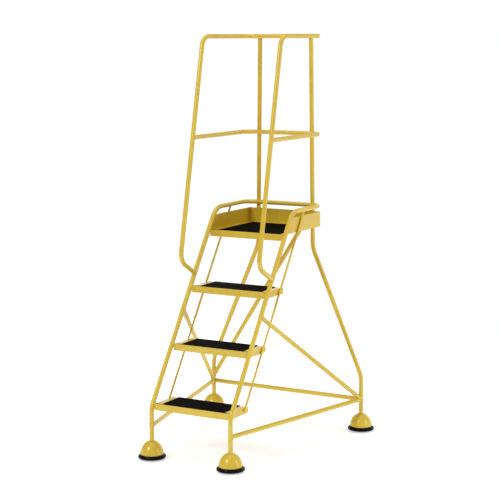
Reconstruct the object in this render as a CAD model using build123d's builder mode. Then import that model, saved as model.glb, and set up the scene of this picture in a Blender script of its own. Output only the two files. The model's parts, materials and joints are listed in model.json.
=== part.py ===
"""Rolling warehouse ladder: four treads' rise, a railed platform and four domed feet
that hide spring-loaded castors.

Frame: +Z up, +X to the right-hand side seen from the front, +Y to the rear.
The floor is z = 0 under the castor wheels.  x = 0 is the middle of the ladder and
y = 0 runs through the two front legs; the whole ladder is moved to the middle of its
own footprint at the end, when the parts are written out.
Every named piece below is one separate physical piece.
"""
from build123d import *
import math
import os

os.makedirs("parts", exist_ok=True)

# ------------------------------------------------------------------ driving sizes, mm
# Tube stock
TUBE_OD = 22.0
TUBE_WALL = 1.5
ROD_DIA = 10.0
SHEET = 1.5
BEND_R = 1.5                   # inside radius of the folds in the sheet

# Steps
STILE_CENTRES = 428.0          # across the ladder, between the two stile axes
FIRST_TREAD_TOP = 266.0        # nosing of the lowest tread above the floor
TREAD_RISE = 254.0
TREAD_COUNT = 3                # the platform is one more rise above the last tread
TREAD_DEPTH = 173.0            # nosing to the rear end of the side flanges
TREAD_SHEET_DEPTH = 163.0      # nosing to the rear edge of the top sheet
LIP_HEIGHT = 32.0
LIP_LEAD = 5.0                 # nosing stands this far ahead of the stile axis
HEM_DEPTH = 6.0
REAR_FOLD = 15.0
FLANGE_CORNER_R = 6.0
HANG_HOLE_DIA = 6.0            # through each side strip, for hanging the tread up to be painted
HANG_HOLE_INSET = 9.0          # from the side of the tread
HANG_HOLE_SETBACK = 146.0      # behind the nosing
MAT_MARGIN = 35.0              # bare sheet left at each side of a mat
MAT_THICK = 3.0
MAT_RIB_PITCH = 9.0
MAT_RIB_GAP = 3.0
MAT_RIB_DEPTH = 0.9
MAT_BACK_MARGIN = 32.0         # bare floor behind the platform mat

# Stiles and toe rail
FRONT_KNEE_Z = 246.0
RAKE_DEG = 34.2                # stile lean from vertical
TOE_RAIL_Z = 1130.0
BOARD_TOP_Z = 1098.0
KNEE_BEND_R = 90.0
TOE_BEND_R = 100.0

# Rails
RAIL_BACK_Y = 908.0            # axis of the rear run of every rail
RAIL_CORNER_R = 52.0
TOP_RAIL_Z = 1967.0
MID_RAIL_Z = 1487.0
HANDRAIL_LEAN_DEG = 11.9       # long handrail runs, from vertical
HANDRAIL_FOOT_Z = 829.0        # where each handrail foot meets its stile
HANDRAIL_FOOT_DEG = 30.0       # slope of that foot below level
HANDRAIL_ELBOW_Z = 903.7       # corner between foot and long run
HANDRAIL_FOOT_R = 65.0
HANDRAIL_TOP_R = 60.0

# Rear legs
REAR_CENTRES = 862.0           # between the vertical lower parts
UPRIGHT_CENTRES_KNEE = 314.0   # at the upper knee
UPRIGHT_CENTRES_TOP = 288.0    # at the top rail
REAR_KNEE_LOW_Z = 277.0
REAR_KNEE_HIGH_Z = 910.0
REAR_BEND_R = 150.0
REAR_LEG_TOP_DROP = 5.0        # leg tops stop this far below the crown of the top rail
CAP_HEAD = 2.0
CAP_PLUG = 14.0

# Bracing
BASE_TUBE_Z = 160.0            # side tubes and rear cross tube
SIDE_DIAGONAL_TOP_Z = 668.0
REAR_DIAGONAL_LOW_Z = 188.0
REAR_DIAGONAL_HIGH_Z = 1108.0
ROD_SETBACK = 138.0            # rod axis behind the stile axis, measured level
ROD_LOW_Z = 248.0
COPE_STEP = 3.0                # a coped tube starts this far along from the mating axis

# Domed feet
DOME_RADIUS = 55.0
DOME_CROWN_Z = 88.0
DOME_SPRING_Z = 24.0           # where the dome turns into its straight skirt
DOME_SKIRT_Z = 13.0
DOME_SHEET = 2.0
DOME_STEPS = 6                 # spans in the curve of a dome
RING_RADIUS = 66.0
RING_CLEAR_Z = 6.0             # rubber ring above the floor when nobody stands on it
RING_TOP_Z = 27.0
RING_BORE_R = 49.0
LEG_END_Z = 66.0               # lower end of every leg tube, inside its dome

# Castor and plunger
WHEEL_RADIUS = 19.0
WHEEL_WIDTH = 14.0
WHEEL_TRAIL = 10.0
AXLE_DIA = 6.0
AXLE_HEAD_R = 4.6
AXLE_HEAD = 1.5
FORK_SHEET = 2.0
FORK_GAP = 18.0                # inside width between the fork cheeks
FORK_TOP_Z = 46.0
FORK_PLATE = 3.0
STEM_DIA = 12.0
STEM_TOP_Z = 104.0
JOURNAL_DIA = 8.0
JOURNAL_HEAD_R = 6.5
JOURNAL_HEAD = 2.4
SEAT_THICK = 3.0
BUSH_FLANGE = 2.0
BUSH_LENGTH = 26.0
CLIP_THICK = 1.4
CLIP_RADIUS = 8.6
CLIP_GROOVE = 0.8
SPRING_WIRE = 2.2
SPRING_TURNS = 2.5

# Fits
RUNNING_FIT = 0.05             # radial clearance of turning and sliding pairs
END_FLOAT = 0.3                # gap between faces that move past each other

# ------------------------------------------------------------------ sizes that follow
TUBE_R = TUBE_OD / 2
OUTER_BEND_R = BEND_R + SHEET
TUBE_BORE_R = TUBE_R - TUBE_WALL
ROD_R = ROD_DIA / 2
RAKE = math.tan(math.radians(RAKE_DEG))
STILE_X = STILE_CENTRES / 2
TREAD_X = STILE_X - TUBE_R                 # outer faces of treads and platform sides
ROD_X = TREAD_X + ROD_R
REAR_X = REAR_CENTRES / 2
REAR_Y = RAIL_BACK_Y + TUBE_OD             # rear legs stand against the rails' backs
PLATFORM_TOP = FIRST_TREAD_TOP + TREAD_RISE * TREAD_COUNT
PLATFORM_REAR = REAR_Y - TUBE_R            # the tray reaches back to the rear legs
LEG_TOP_Z = TOP_RAIL_Z + TUBE_R - REAR_LEG_TOP_DROP
FOOT_SPOTS = {
    "front_left": (-STILE_X, 0.0),
    "front_right": (STILE_X, 0.0),
    "rear_left": (-REAR_X, REAR_Y),
    "rear_right": (REAR_X, REAR_Y),
}
# Middle of the footprint: the widest things on the floor side are the rubber rings.
FRAME_SHIFT = Vector(0, -REAR_Y / 2, 0)


def stile_y(z):
    """Depth of the raked stile axis at height z."""
    return RAKE * (z - FRONT_KNEE_Z)


HANDRAIL_SLOPE = math.tan(math.radians(HANDRAIL_LEAN_DEG))
HANDRAIL_FOOT_Y = stile_y(HANDRAIL_FOOT_Z)
HANDRAIL_ELBOW_Y = HANDRAIL_FOOT_Y - (HANDRAIL_ELBOW_Z - HANDRAIL_FOOT_Z) / math.tan(
    math.radians(HANDRAIL_FOOT_DEG)
)


def handrail_y(z):
    """Depth of the long leaning handrail run at height z."""
    return HANDRAIL_ELBOW_Y + HANDRAIL_SLOPE * (z - HANDRAIL_ELBOW_Z)


# ------------------------------------------------------------------ shared builders
def bent_line(points, radii):
    """Draw straight runs through the points, each corner rounded to its radius."""
    here = points[0]
    for before, corner, after, radius in zip(points, points[1:], points[2:], radii):
        back = (before - corner).normalized()
        on = (after - corner).normalized()
        half = math.radians(back.get_angle(on)) / 2
        reach = radius / math.tan(half)
        middle = (back + on).normalized()
        enter = corner + back * reach
        leave = corner + on * reach
        crest = corner + middle * (radius / math.sin(half) - radius)
        Line(here, enter)
        ThreePointArc(enter, crest, leave)
        here = leave
    Line(here, points[-1])


def run_of_tube(points, radii, outer_r, bore_r=0.0):
    """Sweep a round section, hollow if a bore is given, along a bent line."""
    spots = [Vector(*p) for p in points]
    with BuildPart() as run:
        with BuildLine() as route:
            bent_line(spots, radii)
        with BuildSketch(Plane(origin=spots[0], z_dir=spots[1] - spots[0])):
            Circle(outer_r)
            if bore_r:
                Circle(bore_r, mode=Mode.SUBTRACT)
        sweep(path=route.line)
    return run.part


def save(part, name):
    """Label one piece, move it to the shared frame and write its STEP file."""
    placed = part.moved(Location(FRAME_SHIFT))
    placed.label = name
    export_step(placed, "parts/" + name + ".step")


def cut_tube(points, radii, others):
    """A hollow tube whose ends are coped to the solid tubes it is welded against."""
    spots = [Vector(*p) for p in points]
    starts = [
        spots[0] + (spots[1] - spots[0]).normalized() * COPE_STEP,
        *spots[1:-1],
        spots[-1] + (spots[-2] - spots[-1]).normalized() * COPE_STEP,
    ]
    with BuildPart() as tube:
        add(run_of_tube(starts, radii, TUBE_R, TUBE_BORE_R))
        for other in others:
            add(other, mode=Mode.SUBTRACT)
    # A cope can leave a loose crumb beyond the far side of a mating tube.
    return tube.part.solids().sort_by(SortBy.VOLUME)[-1]


# ------------------------------------------------------------------ tube frame
def rear_leg_points(side):
    """Corners of one rear leg, foot to top; side is -1 for left and 1 for right."""
    return [
        (side * REAR_X, REAR_Y, LEG_END_Z),
        (side * REAR_X, REAR_Y, REAR_KNEE_LOW_Z),
        (side * UPRIGHT_CENTRES_KNEE / 2, REAR_Y, REAR_KNEE_HIGH_Z),
        (side * UPRIGHT_CENTRES_TOP / 2, REAR_Y, LEG_TOP_Z),
    ]


toe_corner_y = stile_y(TOE_RAIL_Z)
stile_points = [
    (-STILE_X, 0, LEG_END_Z),
    (-STILE_X, 0, FRONT_KNEE_Z),
    (-STILE_X, toe_corner_y, TOE_RAIL_Z),
    (-STILE_X, RAIL_BACK_Y, TOE_RAIL_Z),
    (STILE_X, RAIL_BACK_Y, TOE_RAIL_Z),
    (STILE_X, toe_corner_y, TOE_RAIL_Z),
    (STILE_X, 0, FRONT_KNEE_Z),
    (STILE_X, 0, LEG_END_Z),
]
stile_radii = [KNEE_BEND_R, TOE_BEND_R, RAIL_CORNER_R, RAIL_CORNER_R, TOE_BEND_R, KNEE_BEND_R]

# Solid straight bars standing for the tubes others are coped against, left and right.
front_leg_bar = {}
stile_bar = {}
toe_side_bar = {}
handrail_bar = {}
rear_foot_bar = {}
upright_bar = {}
for side, hand in ((-1, "left"), (1, "right")):
    knee = (side * STILE_X, 0, FRONT_KNEE_Z)
    toe_corner = (side * STILE_X, toe_corner_y, TOE_RAIL_Z)
    front_leg_bar[hand] = run_of_tube([(side * STILE_X, 0, LEG_END_Z), knee], [], TUBE_R)
    stile_bar[hand] = run_of_tube([knee, toe_corner], [], TUBE_R)
    toe_side_bar[hand] = run_of_tube(
        [toe_corner, (side * STILE_X, RAIL_BACK_Y, TOE_RAIL_Z)], [], TUBE_R
    )
    handrail_bar[hand] = run_of_tube(
        [
            (side * STILE_X, HANDRAIL_ELBOW_Y, HANDRAIL_ELBOW_Z),
            (side * STILE_X, handrail_y(TOP_RAIL_Z), TOP_RAIL_Z),
        ],
        [],
        TUBE_R,
    )
    foot, low_knee, high_knee, leg_top = rear_leg_points(side)
    rear_foot_bar[hand] = run_of_tube([foot, low_knee], [], TUBE_R)
    upright_bar[hand] = run_of_tube([high_knee, leg_top], [], TUBE_R)

# One tube makes both front legs, both stiles and the toe rail round the platform.
with BuildPart() as stile_hoop:
    add(run_of_tube(stile_points, stile_radii, TUBE_R, TUBE_BORE_R))
save(stile_hoop.part, "stile_hoop")

handrail_points = [
    (-STILE_X, HANDRAIL_FOOT_Y, HANDRAIL_FOOT_Z),
    (-STILE_X, HANDRAIL_ELBOW_Y, HANDRAIL_ELBOW_Z),
    (-STILE_X, handrail_y(TOP_RAIL_Z), TOP_RAIL_Z),
    (-STILE_X, RAIL_BACK_Y, TOP_RAIL_Z),
    (STILE_X, RAIL_BACK_Y, TOP_RAIL_Z),
    (STILE_X, handrail_y(TOP_RAIL_Z), TOP_RAIL_Z),
    (STILE_X, HANDRAIL_ELBOW_Y, HANDRAIL_ELBOW_Z),
    (STILE_X, HANDRAIL_FOOT_Y, HANDRAIL_FOOT_Z),
]
handrail_radii = [
    HANDRAIL_FOOT_R,
    HANDRAIL_TOP_R,
    RAIL_CORNER_R,
    RAIL_CORNER_R,
    HANDRAIL_TOP_R,
    HANDRAIL_FOOT_R,
]
# Handrail and top rail in one, its feet coped onto the front of the stiles.
with BuildPart() as handrail_hoop:
    add(cut_tube(handrail_points, handrail_radii, stile_bar.values()))
save(handrail_hoop.part, "handrail_hoop")

mid_points = [
    (-STILE_X, handrail_y(MID_RAIL_Z), MID_RAIL_Z),
    (-STILE_X, RAIL_BACK_Y, MID_RAIL_Z),
    (STILE_X, RAIL_BACK_Y, MID_RAIL_Z),
    (STILE_X, handrail_y(MID_RAIL_Z), MID_RAIL_Z),
]
with BuildPart() as mid_rail:
    add(cut_tube(mid_points, [RAIL_CORNER_R, RAIL_CORNER_R], handrail_bar.values()))
save(mid_rail.part, "mid_rail")


for side, hand in ((-1, "left"), (1, "right")):
    with BuildPart() as rear_leg:
        add(run_of_tube(rear_leg_points(side), [REAR_BEND_R, REAR_BEND_R], TUBE_R, TUBE_BORE_R))
    save(rear_leg.part, "rear_leg_" + hand)

# Plastic plugs closing the two rear leg tops.
with BuildPart() as leg_caps:
    for side in (-1, 1):
        knee = Vector(side * UPRIGHT_CENTRES_KNEE / 2, REAR_Y, REAR_KNEE_HIGH_Z)
        top = Vector(side * UPRIGHT_CENTRES_TOP / 2, REAR_Y, LEG_TOP_Z)
        with BuildSketch(Plane(origin=top, z_dir=top - knee)):
            Circle(TUBE_R)
        extrude(amount=CAP_HEAD)
        with BuildSketch(Plane(origin=top, z_dir=top - knee)):
            Circle(TUBE_BORE_R)
        extrude(amount=-CAP_PLUG)
save(leg_caps.part, "rear_leg_caps")

# Base: side tubes first, then the cross tube fitted between them.
base_bar = {}
for side, hand in ((-1, "left"), (1, "right")):
    ends = [(side * STILE_X, 0, BASE_TUBE_Z), (side * REAR_X, REAR_Y, BASE_TUBE_Z)]
    base_bar[hand] = run_of_tube(ends, [], TUBE_R)
    with BuildPart() as side_tube:
        add(cut_tube(ends, [], [front_leg_bar[hand], rear_foot_bar[hand]]))
    save(side_tube.part, "base_side_tube_" + hand)

cross_points = [(-REAR_X, REAR_Y, BASE_TUBE_Z), (REAR_X, REAR_Y, BASE_TUBE_Z)]
cross_bar = run_of_tube(cross_points, [], TUBE_R)
with BuildPart() as cross_tube:
    add(cut_tube(cross_points, [], [*rear_foot_bar.values(), *base_bar.values()]))
save(cross_tube.part, "rear_cross_tube")

side_diagonal_bar = {}
for side, hand in ((-1, "left"), (1, "right")):
    ends = [
        (side * STILE_X, stile_y(SIDE_DIAGONAL_TOP_Z), SIDE_DIAGONAL_TOP_Z),
        (side * REAR_X, REAR_Y, BASE_TUBE_Z),
    ]
    side_diagonal_bar[hand] = run_of_tube(ends, [], TUBE_R)
    with BuildPart() as side_diagonal:
        add(cut_tube(ends, [], [stile_bar[hand], rear_foot_bar[hand], base_bar[hand], cross_bar]))
    save(side_diagonal.part, "side_diagonal_" + hand)


def upright_x(z):
    """Distance of a rear leg axis from the middle, above its upper knee."""
    share = (z - REAR_KNEE_HIGH_Z) / (LEG_TOP_Z - REAR_KNEE_HIGH_Z)
    return (UPRIGHT_CENTRES_KNEE + share * (UPRIGHT_CENTRES_TOP - UPRIGHT_CENTRES_KNEE)) / 2


rear_diagonal_points = [
    (-REAR_X, REAR_Y, REAR_DIAGONAL_LOW_Z),
    (upright_x(REAR_DIAGONAL_HIGH_Z), REAR_Y, REAR_DIAGONAL_HIGH_Z),
]
with BuildPart() as rear_diagonal:
    add(
        cut_tube(
            rear_diagonal_points,
            [],
            [rear_foot_bar["left"], upright_bar["right"], side_diagonal_bar["left"], cross_bar],
        )
    )
save(rear_diagonal.part, "rear_diagonal")

# Thin stiffening rods along the outside of the treads, up to the toe rail.
for side, hand in ((-1, "left"), (1, "right")):
    low = (side * ROD_X, ROD_SETBACK + stile_y(ROD_LOW_Z), ROD_LOW_Z)
    high = (side * ROD_X, ROD_SETBACK + stile_y(TOE_RAIL_Z), TOE_RAIL_Z)
    with BuildPart() as rod:
        add(run_of_tube([low, high], [], ROD_R))
        add(toe_side_bar[hand], mode=Mode.SUBTRACT)
    save(rod.part, "tread_rod_" + hand)


# ------------------------------------------------------------------ treads and mats
def round_corner(sketch, across, up, radius):
    """Round the corner of a sketch that lies nearest to the given spot."""
    fillet(sketch.vertices().sort_by_distance((across, up, 0))[0], radius=radius)


def folded_sheet(nosing_y, rear_y, top_z, fold_low, fold_high):
    """Side view of a folded sheet: front lip, raised hem, top, and a fold along the rear."""
    sheet_top = top_z - MAT_THICK
    sheet_low = sheet_top - SHEET
    with BuildSketch(Plane.YZ.offset(-TREAD_X)) as profile:
        with BuildLine():
            Polyline(
                (nosing_y, top_z - LIP_HEIGHT),
                (nosing_y + SHEET, top_z - LIP_HEIGHT),
                (nosing_y + SHEET, sheet_low),
                (rear_y, sheet_low),
                (rear_y, sheet_top),
                (nosing_y + HEM_DEPTH, sheet_top),
                (nosing_y + HEM_DEPTH, top_z),
                (nosing_y, top_z),
                close=True,
            )
        make_face()
        with Locations((rear_y - SHEET / 2, (fold_low + fold_high) / 2)):
            Rectangle(SHEET, fold_high - fold_low)
        round_corner(profile, nosing_y, top_z, OUTER_BEND_R)
        round_corner(profile, nosing_y + SHEET, sheet_low, BEND_R)
        # The rear fold turns down on a tread and up on the platform.
        folds_up = fold_high > sheet_top
        round_corner(profile, rear_y, sheet_low if folds_up else sheet_top, OUTER_BEND_R)
        round_corner(profile, rear_y - SHEET, sheet_top if folds_up else sheet_low, BEND_R)
    return profile.sketch


def ribbed_mat(front_y, rear_y, top_z):
    """Rubber mat with ribs along the tread: flat strips between shallow grooves."""
    length = rear_y - front_y
    grooves = int((length - MAT_RIB_PITCH) // MAT_RIB_PITCH)
    first = front_y + (length - (grooves - 1) * MAT_RIB_PITCH) / 2
    with BuildPart() as mat:
        with BuildSketch(Plane.YZ.offset(-(TREAD_X - MAT_MARGIN))):
            with Locations((front_y + length / 2, top_z - MAT_THICK / 2)):
                Rectangle(length, MAT_THICK)
            for number in range(grooves):
                with Locations((first + number * MAT_RIB_PITCH, top_z)):
                    Rectangle(MAT_RIB_GAP, 2 * MAT_RIB_DEPTH, mode=Mode.SUBTRACT)
        extrude(amount=2 * (TREAD_X - MAT_MARGIN))
    return mat.part


for number in range(TREAD_COUNT):
    top_z = FIRST_TREAD_TOP + TREAD_RISE * number
    nosing_y = stile_y(top_z) - LIP_LEAD
    sheet_rear = nosing_y + TREAD_SHEET_DEPTH
    sheet_top = top_z - MAT_THICK
    with BuildPart() as tread:
        extrude(
            folded_sheet(nosing_y, sheet_rear, top_z, sheet_top - REAR_FOLD, sheet_top),
            amount=2 * TREAD_X,
            dir=(1, 0, 0),
        )
        # Side flanges, a little longer than the top sheet, rear corners rounded
        for side in (-1, 1):
            with BuildSketch(Plane.YZ.offset(side * TREAD_X)) as flange:
                with Locations((nosing_y + TREAD_DEPTH / 2, (top_z - LIP_HEIGHT + sheet_top) / 2)):
                    Rectangle(TREAD_DEPTH, LIP_HEIGHT - MAT_THICK)
                fillet(flange.vertices().sort_by(Axis.X)[-2:], radius=FLANGE_CORNER_R)
            extrude(amount=-side * SHEET)
        hole_y = nosing_y + HANG_HOLE_SETBACK
        with BuildSketch(Plane.XY.offset(sheet_top)):
            with Locations((HANG_HOLE_INSET - TREAD_X, hole_y), (TREAD_X - HANG_HOLE_INSET, hole_y)):
                Circle(HANG_HOLE_DIA / 2)
        extrude(amount=-SHEET, mode=Mode.SUBTRACT)
    save(tread.part, "tread_%d" % (number + 1))
    with BuildPart() as mat:
        add(ribbed_mat(nosing_y + HEM_DEPTH, sheet_rear - OUTER_BEND_R, top_z))
    save(mat.part, "tread_mat_%d" % (number + 1))

# ------------------------------------------------------------------ platform tray
platform_nosing = stile_y(PLATFORM_TOP) - LIP_LEAD
floor_top = PLATFORM_TOP - MAT_THICK
with BuildPart() as platform_tray:
    extrude(
        folded_sheet(platform_nosing, PLATFORM_REAR, PLATFORM_TOP, floor_top, BOARD_TOP_Z),
        amount=2 * TREAD_X,
        dir=(1, 0, 0),
    )
    # Side boards, front edges raked with the stiles
    for side in (-1, 1):
        with BuildSketch(Plane.YZ.offset(side * TREAD_X)):
            with BuildLine():
                Polyline(
                    (stile_y(floor_top), floor_top - SHEET),
                    (stile_y(BOARD_TOP_Z), BOARD_TOP_Z),
                    (PLATFORM_REAR, BOARD_TOP_Z),
                    (PLATFORM_REAR, floor_top - SHEET),
                    close=True,
                )
            make_face()
        extrude(amount=-side * SHEET)
save(platform_tray.part, "platform_tray")

with BuildPart() as platform_mat:
    add(
        ribbed_mat(
            platform_nosing + HEM_DEPTH, PLATFORM_REAR - SHEET - MAT_BACK_MARGIN, PLATFORM_TOP
        )
    )
save(platform_mat.part, "platform_mat")


# ------------------------------------------------------------------ domed feet
def dome_curve(inset):
    """Quarter ellipse from the skirt up to the leg tube, at a depth below the outer skin."""
    radius = DOME_RADIUS - inset
    rise = DOME_CROWN_Z - DOME_SPRING_Z - inset
    end = math.acos(TUBE_R / radius)
    angles = [end * step / DOME_STEPS for step in range(DOME_STEPS + 1)]
    return Spline(
        [(radius * math.cos(a), DOME_SPRING_Z + rise * math.sin(a)) for a in angles],
        tangents=[(0, 1), (-radius * math.sin(end), rise * math.cos(end))],
    )


def dome_face():
    """Half outline of the dome shell: straight skirt, quarter ellipse, hole for the leg."""
    with BuildSketch(Plane.XZ) as half:
        with BuildLine():
            outer = dome_curve(0.0)
            inner = dome_curve(DOME_SHEET)
            Line(outer @ 1, inner @ 1)
            Polyline(
                outer @ 0,
                (DOME_RADIUS, DOME_SKIRT_Z),
                (DOME_RADIUS - DOME_SHEET, DOME_SKIRT_Z),
                inner @ 0,
            )
        make_face()
    return half.sketch


def turned(sketch, x, y):
    """Spin a half outline about the foot's own vertical axis."""
    with BuildPart() as body:
        add(sketch)
        revolve(axis=Axis.Z)
    return body.part.moved(Location((x, y, 0)))


def disc_stack(x, y, steps):
    """Round solid made of stacked discs, each step (radius, low z, high z)."""
    with BuildPart() as stack:
        for radius, low, high in steps:
            with BuildSketch(Plane.XY.offset(low)):
                with Locations((x, y)):
                    Circle(radius)
            extrude(amount=high - low)
    return stack.part


ring_gap = RING_RADIUS - DOME_RADIUS
seat_low = FORK_TOP_Z + END_FLOAT
seat_high = seat_low + SEAT_THICK
bush_low = LEG_END_Z - BUSH_FLANGE
bush_high = LEG_END_Z + BUSH_LENGTH
clip_low = bush_high + END_FLOAT
journal_low = FORK_TOP_Z - FORK_PLATE - END_FLOAT
spring_mean_r = TUBE_R - SPRING_WIRE / 2
hub_half = FORK_GAP / 2 - END_FLOAT
cheek_out = FORK_GAP / 2 + FORK_SHEET

for spot, (fx, fy) in FOOT_SPOTS.items():
    # Pressed steel dome, pierced for the leg tube that is welded into its crown
    with BuildPart() as dome:
        add(turned(dome_face(), fx, fy))
    save(dome.part, "dome_" + spot)

    # Rubber ring moulded round the rim of the dome
    with BuildSketch(Plane.XZ) as ring_outline:
        with BuildLine():
            Polyline(
                (RING_BORE_R, RING_CLEAR_Z + 2),
                (RING_BORE_R, DOME_SKIRT_Z + 4),
                (DOME_RADIUS - DOME_SHEET, DOME_SKIRT_Z + 7),
                (DOME_RADIUS, DOME_SKIRT_Z + 7),
                (DOME_RADIUS + 0.2 * ring_gap, RING_TOP_Z - 2),
            )
            Spline(
                (DOME_RADIUS + 0.2 * ring_gap, RING_TOP_Z - 2),
                (DOME_RADIUS + 0.66 * ring_gap, RING_CLEAR_Z + 14),
                (RING_RADIUS, RING_CLEAR_Z + 7),
                (DOME_RADIUS + 0.8 * ring_gap, RING_CLEAR_Z + 1.5),
                (DOME_RADIUS + 0.4 * ring_gap, RING_CLEAR_Z),
            )
            Line((DOME_RADIUS + 0.4 * ring_gap, RING_CLEAR_Z), (RING_BORE_R + 2, RING_CLEAR_Z))
            Line((RING_BORE_R + 2, RING_CLEAR_Z), (RING_BORE_R, RING_CLEAR_Z + 2))
        make_face()
    with BuildPart() as rubber_ring:
        add(turned(ring_outline.sketch, fx, fy))
        add(dome.part, mode=Mode.SUBTRACT)
    save(rubber_ring.part, "rubber_ring_" + spot)

    # Flanged guide bush pushed up into the end of the leg tube
    with BuildPart() as bush:
        add(disc_stack(fx, fy, [(TUBE_R, bush_low, LEG_END_Z), (TUBE_BORE_R, LEG_END_Z, bush_high)]))
        add(
            disc_stack(fx, fy, [(STEM_DIA / 2 + RUNNING_FIT, bush_low, bush_high)]),
            mode=Mode.SUBTRACT,
        )
    save(bush.part, "guide_bush_" + spot)

    # Plunger stem: head, swivel journal, spring seat, long shank with a clip groove
    with BuildPart() as stem:
        add(
            disc_stack(
                fx,
                fy,
                [
                    (JOURNAL_HEAD_R, journal_low - JOURNAL_HEAD, journal_low),
                    (JOURNAL_DIA / 2, journal_low, seat_low),
                    (TUBE_R, seat_low, seat_high),
                    (STEM_DIA / 2, seat_high, clip_low),
                    (STEM_DIA / 2 - CLIP_GROOVE, clip_low, clip_low + CLIP_THICK),
                    (STEM_DIA / 2, clip_low + CLIP_THICK, STEM_TOP_Z),
                ],
            )
        )
        chamfer(stem.faces().sort_by(Axis.Z)[-1].edges(), length=1.0)
    save(stem.part, "plunger_stem_" + spot)

    # Retaining clip that stops the plunger dropping out of its bush
    with BuildPart() as clip:
        with BuildSketch(Plane.XY.offset(clip_low)):
            with Locations((fx, fy)):
                Circle(CLIP_RADIUS)
                Circle(STEM_DIA / 2 - CLIP_GROOVE, mode=Mode.SUBTRACT)
        extrude(amount=CLIP_THICK)
    save(clip.part, "retaining_clip_" + spot)

    # Compression spring between the bush flange and the stem's seat
    coil_low = seat_high + SPRING_WIRE / 2
    coil_high = bush_low - SPRING_WIRE / 2
    with BuildPart() as spring:
        with BuildLine() as coil:
            Helix(
                pitch=(coil_high - coil_low) / SPRING_TURNS,
                height=coil_high - coil_low,
                radius=spring_mean_r,
                center=(fx, fy, coil_low),
            )
        with BuildSketch(Plane(origin=coil.line @ 0, z_dir=coil.line % 0)):
            Circle(SPRING_WIRE / 2)
        sweep(path=coil.line)
    save(spring.part, "spring_" + spot)

    # Castor fork: a top plate with two cheeks folded down to the axle
    with BuildPart() as fork:
        with BuildSketch(Plane.XY.offset(FORK_TOP_Z - FORK_PLATE)):
            with Locations((fx, fy)):
                Circle(cheek_out + 1)
            with Locations((fx, fy + WHEEL_TRAIL)):
                Rectangle(2 * cheek_out, 2 * WHEEL_TRAIL)
        extrude(amount=FORK_PLATE)
        for side in (-1, 1):
            with BuildSketch(Plane.YZ.offset(fx + side * cheek_out)):
                with BuildLine():
                    Polyline(
                        (fy, FORK_TOP_Z),
                        (fy, FORK_TOP_Z - 2 * FORK_PLATE),
                        (fy + WHEEL_TRAIL - AXLE_DIA, WHEEL_RADIUS),
                    )
                    RadiusArc(
                        (fy + WHEEL_TRAIL - AXLE_DIA, WHEEL_RADIUS),
                        (fy + WHEEL_TRAIL + AXLE_DIA, WHEEL_RADIUS),
                        -AXLE_DIA,
                    )
                    Polyline(
                        (fy + WHEEL_TRAIL + AXLE_DIA, WHEEL_RADIUS),
                        (fy + 2 * WHEEL_TRAIL, FORK_TOP_Z - 2 * FORK_PLATE),
                        (fy + 2 * WHEEL_TRAIL, FORK_TOP_Z),
                        (fy, FORK_TOP_Z),
                    )
                make_face()
                with Locations((fy + WHEEL_TRAIL, WHEEL_RADIUS)):
                    Circle(AXLE_DIA / 2, mode=Mode.SUBTRACT)
            extrude(amount=-side * FORK_SHEET)
        with BuildSketch(Plane.XY.offset(FORK_TOP_Z - FORK_PLATE)):
            with Locations((fx, fy)):
                Circle(JOURNAL_DIA / 2 + RUNNING_FIT)
        extrude(amount=FORK_PLATE, mode=Mode.SUBTRACT)
    save(fork.part, "castor_fork_" + spot)

    # Riveted axle pin, heads outside the cheeks
    with BuildPart() as axle:
        with BuildSketch(Plane.YZ.offset(fx - cheek_out)):
            with Locations((fy + WHEEL_TRAIL, WHEEL_RADIUS)):
                Circle(AXLE_DIA / 2)
        extrude(amount=2 * cheek_out)
        for side in (-1, 1):
            with BuildSketch(Plane.YZ.offset(fx + side * cheek_out)):
                with Locations((fy + WHEEL_TRAIL, WHEEL_RADIUS)):
                    Circle(AXLE_HEAD_R)
            extrude(amount=side * AXLE_HEAD)
    save(axle.part, "castor_axle_" + spot)

    # Moulded wheel with a slightly longer hub
    with BuildPart() as wheel:
        with BuildSketch(Plane.YZ.offset(fx - WHEEL_WIDTH / 2)):
            with Locations((fy + WHEEL_TRAIL, WHEEL_RADIUS)):
                Circle(WHEEL_RADIUS)
        extrude(amount=WHEEL_WIDTH)
        rims = wheel.edges().filter_by(GeomType.CIRCLE)
        fillet(rims, radius=1.5)
        with BuildSketch(Plane.YZ.offset(fx - hub_half)):
            with Locations((fy + WHEEL_TRAIL, WHEEL_RADIUS)):
                Circle(AXLE_DIA)
        extrude(amount=2 * hub_half)
        with BuildSketch(Plane.YZ.offset(fx - hub_half)):
            with Locations((fy + WHEEL_TRAIL, WHEEL_RADIUS)):
                Circle(AXLE_DIA / 2 + RUNNING_FIT)
        extrude(amount=2 * hub_half, mode=Mode.SUBTRACT)
    save(wheel.part, "castor_wheel_" + spot)
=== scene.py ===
"""Looks of the rolling warehouse ladder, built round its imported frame.

Everything is in metres on the frame's own axes: +Z up, +Y to the rear, +X to the right.
Tubes, rods, treads, tray, plugs, bushes, stems, clips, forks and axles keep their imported
meshes and get finishes here. Domes, rubber rings, mats, springs, castor wheels and weld
beads are made here as surfaces.
"""
import json
import math

import bpy
import numpy as np
from mathutils import Matrix, Vector


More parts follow.
